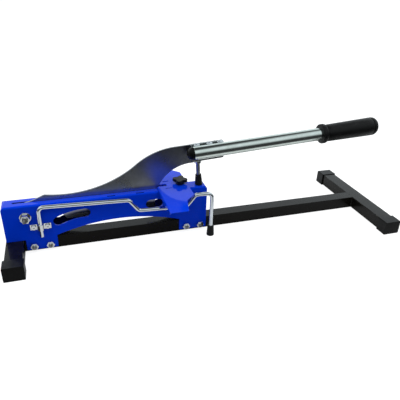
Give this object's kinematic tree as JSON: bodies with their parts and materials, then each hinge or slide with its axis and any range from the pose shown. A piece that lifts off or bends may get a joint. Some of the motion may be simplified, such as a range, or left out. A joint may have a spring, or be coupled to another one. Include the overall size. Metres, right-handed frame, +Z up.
{
  "type": "laminate floor cutter",
  "caption": "Guillotine floor-plank cutter: a long hinged blade lever closes into a slotted channel on a low H-shaped frame, with a clamped fence and a swing-out support arm.",
  "frame": {"origin": "on the ground, at the middle of the base", "axes": "+X from the blade's pivot towards the hand grip, +Y to the far side, +Z up"},
  "size_m": [0.7646, 0.265, 0.2143],
  "materials": {
    "black_paint": "satin black powder coat",
    "blue_paint": "gloss blue powder coat",
    "zinc_fastener": "bright zinc plate",
    "zinc_tube": "zinc plate with a faint grey-green tone",
    "bright_rod": "bright plated rod",
    "plain_steel": "turned steel",
    "blade_steel": "dark satin hardened steel with a ground edge",
    "black_plastic": "moulded black plastic",
    "black_rubber": "black rubber with a soft sheen"
  },
  "bodies": {
    "base": {"main_beam": "black_paint", "pivot_crossbar": "black_paint", "handle_crossbar": "black_paint", "frame_welds": "black_paint", "pivot_crossbar_caps": "black_plastic", "handle_crossbar_caps": "black_plastic", "cutting_channel": "blue_paint", "channel_bolts": "zinc_fastener", "channel_nuts": "zinc_fastener", "pivot_bolt": "zinc_fastener", "pivot_nut": "zinc_fastener", "pivot_spacers": "plain_steel", "arm_clamp": "zinc_fastener", "clamp_screws": "zinc_fastener", "clamp_nuts": "zinc_fastener", "fence_bolt": "zinc_fastener", "fence_spacer": "zinc_fastener"},
    "lever": {"blade": "blade_steel", "handle_bracket": "zinc_tube", "bracket_screws": "zinc_fastener", "bracket_welds": "zinc_tube", "handle_tube": "zinc_tube", "tube_plug": "black_plastic", "hand_grip": "black_rubber", "stop_nut": "zinc_fastener", "stop_rod": "zinc_fastener", "stop_foot": "black_rubber"},
    "arm": {"support_arm": "bright_rod", "arm_foot": "black_rubber"},
    "fence": {"fence_plate": "blue_paint"},
    "knob": {"fence_knob": "black_plastic", "knob_insert": "zinc_fastener"}
  },
  "joints": [
    {"name": "lever_hinge", "type": "hinge", "parent": "base", "child": "lever", "pos_m": [-0.3401, 0, 0.0738], "axis": [0, -1, 0], "range_deg": [0, 65]},
    {"name": "arm_swing", "type": "hinge", "parent": "base", "child": "arm", "pos_m": [-0.3168, -0.01965, 0.0528], "axis": [0, 0, -1], "range_deg": [-2.8, 100]},
    {"name": "fence_swivel", "type": "hinge", "parent": "base", "child": "fence", "pos_m": [-0.0535, 0, 0.09975], "axis": [0, 0, 1], "range_deg": [-3, 3]},
    {"name": "knob_turn", "type": "hinge", "parent": "base", "child": "knob", "pos_m": [-0.0535, 0, 0.1065], "axis": [0, 0, 1], "continuous": true}
  ]
}
